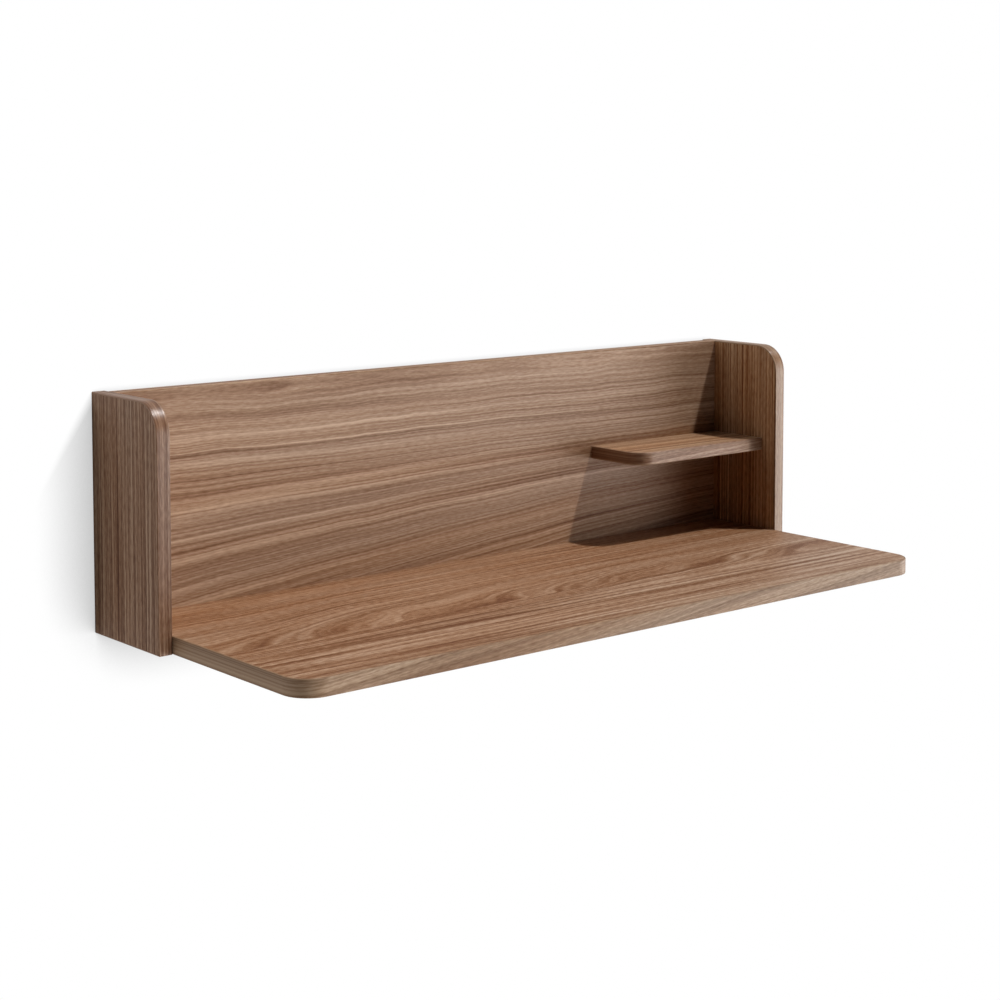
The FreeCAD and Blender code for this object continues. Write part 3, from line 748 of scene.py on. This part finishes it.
def cast_zinc():
    """Die-cast zinc: dull grey, mottled, with the skin of the mould."""
    finish, tree, shader, place = new_finish("cast_zinc")
    mottle = stretched(tree, place, MOTTLE_PER_METRE, detail=3.0)
    skin = stretched(tree, place, CAST_SKIN_PER_METRE)
    shader.inputs["Metallic"].default_value = 1.0
    roughness = ranged(tree, mottle, *CAST_ZINC_ROUGHNESS, NOISE_LOW, NOISE_HIGH)
    surface(tree, shader, toned(tree, mottle, CAST_ZINC_TONES), roughness, skin, CAST_SKIN_DEPTH)
    return finish


lock = turned("cam_lock", LOCK_SIDES, [
    (0.0, LOCK_RADIUS - LOCK_BEVEL), (LOCK_BEVEL, LOCK_RADIUS),
    (LOCK_HEIGHT - LOCK_BEVEL, LOCK_RADIUS), (LOCK_HEIGHT, LOCK_RADIUS - LOCK_BEVEL),
])
picked(lock, "FACE", lambda face: face.normal.z < -FACING)
bpy.ops.mesh.inset(thickness=LOCK_RIM)
bpy.ops.mesh.extrude_region_move(TRANSFORM_OT_translate={"value": (0.0, 0.0, LOCK_FACE_SINK)})
bpy.ops.object.mode_set(mode="OBJECT")
cut_out(lock, turned("cup", ROUND_SIDES, [
    (LOCK_FLOOR, CUP_RADIUS - CUP_BEVEL), (LOCK_FLOOR + CUP_BEVEL, CUP_RADIUS),
    (LOCK_HEIGHT + OVERRUN, CUP_RADIUS),
]))
cut_out(lock, bolt_slot())
cut_out(lock, arrow_head())
cross_recess(lock, **LOCK_RECESS)
smoothed(lock)

zinc = cast_zinc()
for joint in FROM_FACE:
    fitted(lock, f"{joint}_cam_locks", zinc, "cam",
           lambda middle: (FROM_FACE[joint], from_end(joint, middle)))
bpy.data.objects.remove(lock)


# Cover caps. Moulded brown plastic, slightly domed, with a cross on the inside that is pressed into the
# recess of the cam lock and a small notch in the rim to lift them by. They cover the locks that are seen from
# below.

CAP_RADIUS = 0.009
CAP_THICKNESS = 0.0012
CAP_DOME = [(0.0, 0.3), (0.04, 0.55), (0.16, 0.8), (0.32, 0.94), (0.55, 1.0), (1.0, 1.0)]
CAP_PEG = {"length": 0.0066, "width": 0.0012, "low": 0.0011, "high": 0.0028, "narrowing": 0.7}
NOTCH_RADIUS = 0.0013
NOTCH_DEPTH = 0.0006

SPARKS_PER_METRE = (2600.0, 2600.0, 2600.0)
FLOW_PER_METRE = (180.0, 180.0, 180.0)
SPARK_SHARE = 0.4
PLASTIC_TONES = ((0.3, screen(84, 55, 36)), (0.7, screen(104, 70, 47)))
PLASTIC_ROUGHNESS = (0.42, 0.6)
SPARK_DEPTH = 0.00006


def brown_plastic():
    """Moulded plastic: brown, with the fine sparked skin of its mould."""
    finish, tree, shader, place = new_finish("brown_plastic")
    skin = stretched(tree, place, SPARKS_PER_METRE, detail=3.0)
    flow = stretched(tree, place, FLOW_PER_METRE, detail=1.0)
    flow = worked(tree, "MULTIPLY", flow, 1.0 - SPARK_SHARE)
    tone = worked(tree, "MULTIPLY_ADD", skin, SPARK_SHARE, flow)
    roughness = ranged(tree, skin, *PLASTIC_ROUGHNESS, NOISE_LOW, NOISE_HIGH)
    surface(tree, shader, toned(tree, tone, PLASTIC_TONES), roughness, skin, SPARK_DEPTH)
    return finish


cap = turned("cam_cap", LOCK_SIDES, [
    (CAP_THICKNESS * depth_share, CAP_RADIUS * radius_share) for depth_share, radius_share in CAP_DOME])
notch = turned("notch", ROUND_SIDES, [
    (CAP_THICKNESS - NOTCH_DEPTH, NOTCH_RADIUS), (CAP_THICKNESS + OVERRUN, NOTCH_RADIUS)])
notch.location = (CAP_RADIUS, 0.0, 0.0)
cut_out(cap, notch)
peg = cross_block(**CAP_PEG)
active(cap)
peg.select_set(True)
bpy.ops.object.join()
smoothed(cap)

cap_plastic = brown_plastic()
for node in ("desktop_cam_caps", "shelf_cam_caps"):
    fitted(cap, node, cap_plastic, "cap", lambda middle: (UP, from_end(node, middle)))
bpy.data.objects.remove(cap)


# Shelf screws and rail screws. Countersunk wood screws, plated steel, with a cross recess and a thread that
# runs out before the head. The long ones hold the shelf from behind, the short ones hold the rail.

SCREW_SIZES = {
    "shelf_screws": {"diameter": 0.005, "head": 0.0096, "length": 0.046, "plain": 0.019},
    "desk_rail_screws": {"diameter": 0.004, "head": 0.0076, "length": 0.016, "plain": 0.004},
}
SCREW_TIP_RADIUS = 0.0002
SCREW_BEVEL = 0.0002
ROOT_SHARE = 0.68
PITCH_SHARE = 0.42
SCREW_RECESS = {"length": 0.0044, "width": 0.0011, "depth": 0.0014}


def wood_screw(name, diameter, head, length, plain):
    """A screw with its head at the origin; plain is how far the shank runs without thread."""
    shank = diameter / 2
    root = shank * ROOT_SHARE
    pitch = diameter * PITCH_SHARE
    sink = head / 2 - shank
    point = length - diameter
    screw = turned(name, ROUND_SIDES, [
        (0.0, head / 2 - SCREW_BEVEL), (SCREW_BEVEL, head / 2 - SCREW_BEVEL / 2), (sink, shank),
        (plain, shank), (plain + shank - root, root), (point, root), (length, SCREW_TIP_RADIUS),
    ])
    cross_recess(screw, **SCREW_RECESS)
    turns = math.floor((point - plain) / pitch)
    threaded(screw, root, shank, point - turns * pitch, pitch, turns)
    smoothed(screw)
    return screw


for node, sizes in SCREW_SIZES.items():
    screw = wood_screw(f"{node}_pattern", **sizes)
    fitted(screw, node, plated_steel, "steel", lambda middle: (-REAR, RIGHT))
    bpy.data.objects.remove(screw)


# Hanging rails. Two aluminium extrusions, one screwed to the back of the desk and one to the wall, that hook
# into each other. The metal is bare, with the fine lines that the die leaves along its length.

DIE_LINES_PER_METRE = (4.0, 2600.0, 2600.0)
ALUMINIUM_TONES = ((0.25, (0.52, 0.53, 0.54)), (0.75, (0.68, 0.69, 0.70)))
ALUMINIUM_ROUGHNESS = (0.28, 0.46)
DIE_LINE_DEPTH = 0.00004


def drawn_aluminium():
    """Bare aluminium with the lines of the die along X."""
    finish, tree, shader, place = new_finish("drawn_aluminium")
    lines = stretched(tree, place, DIE_LINES_PER_METRE, detail=3.0)
    shader.inputs["Metallic"].default_value = 1.0
    roughness = ranged(tree, lines, *ALUMINIUM_ROUGHNESS)
    surface(tree, shader, toned(tree, lines, ALUMINIUM_TONES), roughness, lines, DIE_LINE_DEPTH)
    return finish


dressed(drawn_aluminium(), "wall_rail", "desk_rail")


# Studio. A white paper sweep behind and below the desk, a lamp high on the right, a weak one behind, one that
# only gives a glint, and a broad soft light low on the right. No lamp lights the sweep: its white is a
# painted glow, with painted shade close to the desk and a painted shadow to the left of it and below it. The
# same glow, darker close to the desk, lights the desk, and the sweep shows only from the front.

FLOOR_DROP = 1.9
SWEEP_SPAN = 9.0
SWEEP_RADIUS = 0.5
SWEEP_SEGMENTS = 16
TOUCH = 0.001
# How the painted shade and painted shadow on the sweep are drawn, and how much of its glow reaches the desk.
SHADE_REACH = 0.12
SHADE_WAY = (0.64, -0.25, 0.85)
SHADE_SAMPLES = 16
SHADE_SLOPE = 1.5
SHADE_BLUR = 0.018
SHADE_DARKEST = 0.48
SEEN_SHADE = (0.42, 0.86)
THROWN_SHADE = (0.5, 0.98)
GLOSSY_LOSS = 0.6
desk_left = cad_box[0][0]
desk_top = cad_box[1][2]

bpy.ops.object.select_all(action="DESELECT")
bpy.ops.mesh.primitive_plane_add(size=SWEEP_SPAN, location=(0.0, -SWEEP_SPAN / 2, -FLOOR_DROP))
bpy.ops.object.transform_apply(location=True, rotation=True, scale=True)
sweep = bpy.context.active_object
sweep.name = "sweep"


def at_wall(edge):
    """Whether an edge of the sweep lies at the wall."""
    return all(sweep.data.vertices[end].co.y > -TOUCH for end in edge.vertices)


def in_fold(edge):
    """Whether an edge of the sweep is the fold between floor and wall."""
    return at_wall(edge) and all(sweep.data.vertices[end].co.z < TOUCH - FLOOR_DROP for end in edge.vertices)


picked(sweep, "EDGE", at_wall)
bpy.ops.mesh.extrude_region_move(TRANSFORM_OT_translate={"value": (0.0, 0.0, SWEEP_SPAN / 2)})
picked(sweep, "EDGE", in_fold)
bpy.ops.mesh.bevel(offset=SWEEP_RADIUS, segments=SWEEP_SEGMENTS, affect="EDGES")
bpy.ops.mesh.select_all(action="SELECT")
bpy.ops.mesh.normals_make_consistent(inside=True)
bpy.ops.object.mode_set(mode="OBJECT")
bpy.ops.object.shade_smooth()
sweep.visible_shadow = False
sweep.visible_transmission = False

paper, tree, shader, place = new_finish("sweep_paper")
shader.inputs["Base Color"].default_value = (0.0, 0.0, 0.0, 1.0)
shader.inputs["Roughness"].default_value = 1.0
shader.inputs["Specular IOR Level"].default_value = 0.0
shader.inputs["Emission Color"].default_value = (1.0, 1.0, 1.0, 1.0)
# Painted shade: ambient occlusion darkens the glow close to the desk.
nearby = joined(tree, "ShaderNodeAmbientOcclusion", {"Distance": SHADE_REACH, "Normal": SHADE_WAY},
                samples=SHADE_SAMPLES).outputs["AO"]
# Painted shadow: the shade stays below a line that slants down to the left from the desk's top left corner
# and is taken away above it, so it reads as a shadow cast to the left and down.
spot = joined(tree, "ShaderNodeSeparateXYZ", {"Vector": place}).outputs
beside = worked(tree, "MAXIMUM", worked(tree, "SUBTRACT", desk_left, spot["X"]), 0.0)
below = worked(tree, "MULTIPLY_ADD", beside, -SHADE_SLOPE, worked(tree, "SUBTRACT", desk_top, spot["Z"]))
lit = ranged(tree, below, 1.0, 0.0, -SHADE_BLUR, SHADE_BLUR)
nearby = worked(tree, "MULTIPLY_ADD", worked(tree, "SUBTRACT", 1.0, nearby), lit, nearby)
# The camera sees the glow with its painted shade; other rays see a glow that is darker close to the desk and
# weaker in reflections, and that glow lights the desk.
ray = joined(tree, "ShaderNodeLightPath", {}).outputs
shaded = ranged(tree, nearby, SHADE_DARKEST, 1.0, *SEEN_SHADE)
thrown = worked(tree, "MULTIPLY_ADD", ray["Is Glossy Ray"], -GLOSSY_LOSS, 1.0)
thrown = worked(tree, "MULTIPLY", thrown, ranged(tree, nearby, 0.0, 1.0, *THROWN_SHADE))
glow = joined(tree, "ShaderNodeMix", {"Factor": ray["Is Camera Ray"], 2: thrown, 3: shaded}).outputs[0]
tree.links.new(glow, shader.inputs["Emission Strength"])
behind = joined(tree, "ShaderNodeNewGeometry", {}).outputs["Backfacing"]
clear = joined(tree, "ShaderNodeBsdfTransparent", {}).outputs["BSDF"]
one_sided = joined(tree, "ShaderNodeMixShader", {0: behind, 1: shader.outputs["BSDF"], 2: clear})
tree.links.new(one_sided.outputs["Shader"], tree.nodes["Material Output"].inputs["Surface"])
sweep.data.materials.append(paper)


def distant_lamp(name, source, strength, spread):
    """A lamp far off in one direction, as wide as spread in degrees, with soft edges to its shadows."""
    light = bpy.data.lights.new(name, "SUN")
    light.energy = strength
    light.angle = math.radians(spread)
    holder = bpy.data.objects.new(name, light)
    flat_reach = math.hypot(source[0], source[1])
    holder.rotation_euler = (math.atan2(flat_reach, source[2]), 0.0, math.atan2(source[0], -source[1]))
    bpy.context.scene.collection.objects.link(holder)
    return holder


distant_lamp("key_lamp", source=(0.345, -0.335, 1.0), strength=2.5, spread=4.0)
distant_lamp("rear_lamp", source=(0.25, 1.0, 0.3), strength=1.0, spread=20.0)
glint_lamp = distant_lamp("glint_lamp", source=(0.498, -0.15, 0.859), strength=0.95, spread=15.0)
glint_lamp.visible_diffuse = False

FILL_SIDE = math.radians(62.0)
FILL_DROP = math.radians(-17.0)
FILL_EDGE = math.cos(math.radians(48.0))
FILL_CORE = math.cos(math.radians(12.0))
FILL_WEAKEST = 0.03
FILL_STRONGEST = 5.6
fill_way = (
    math.sin(FILL_SIDE) * math.cos(FILL_DROP),
    -math.cos(FILL_SIDE) * math.cos(FILL_DROP),
    math.sin(FILL_DROP),
)

world = bpy.data.worlds.new("studio")
bpy.context.scene.world = world
world.use_nodes = True
air = world.node_tree
way = joined(air, "ShaderNodeTexCoord", {}).outputs["Generated"]
facing = joined(air, "ShaderNodeVectorMath", {0: way, 1: fill_way}, operation="DOT_PRODUCT").outputs["Value"]
fill = ranged(air, facing, FILL_WEAKEST, FILL_STRONGEST, FILL_EDGE, FILL_CORE, "SMOOTHSTEP")
seen = joined(air, "ShaderNodeLightPath", {}).outputs["Is Camera Ray"]
strength = joined(air, "ShaderNodeMix", {"Factor": seen, 2: fill, 3: 1.0}).outputs[0]
sky = air.nodes["Background"]
sky.inputs["Color"].default_value = (1.0, 1.0, 1.0, 1.0)
air.links.new(strength, sky.inputs["Strength"])

scene = bpy.context.scene
scene.view_settings.view_transform = "Standard"


# Camera. It stands to the left of the desk and above it, turned towards the wall. Part of the view down is
# a shift of the lens, as in the photograph, whose uprights stay parallel.

LENS = 72.249
SENSOR_WIDTH = 36.0
LENS_SHIFT = -0.2
CAMERA_PLACE = (-1.7493, -2.2326, 0.3714)
CAMERA_DIP = 4.283
CAMERA_TURN = -39.819

eye = bpy.data.cameras.new("camera")
eye.lens = LENS
eye.sensor_width = SENSOR_WIDTH
eye.shift_y = LENS_SHIFT
camera = bpy.data.objects.new("camera", eye)
camera.location = CAMERA_PLACE
camera.rotation_euler = (math.radians(90.0 - CAMERA_DIP), 0.0, math.radians(CAMERA_TURN))
scene.collection.objects.link(camera)
scene.camera = camera
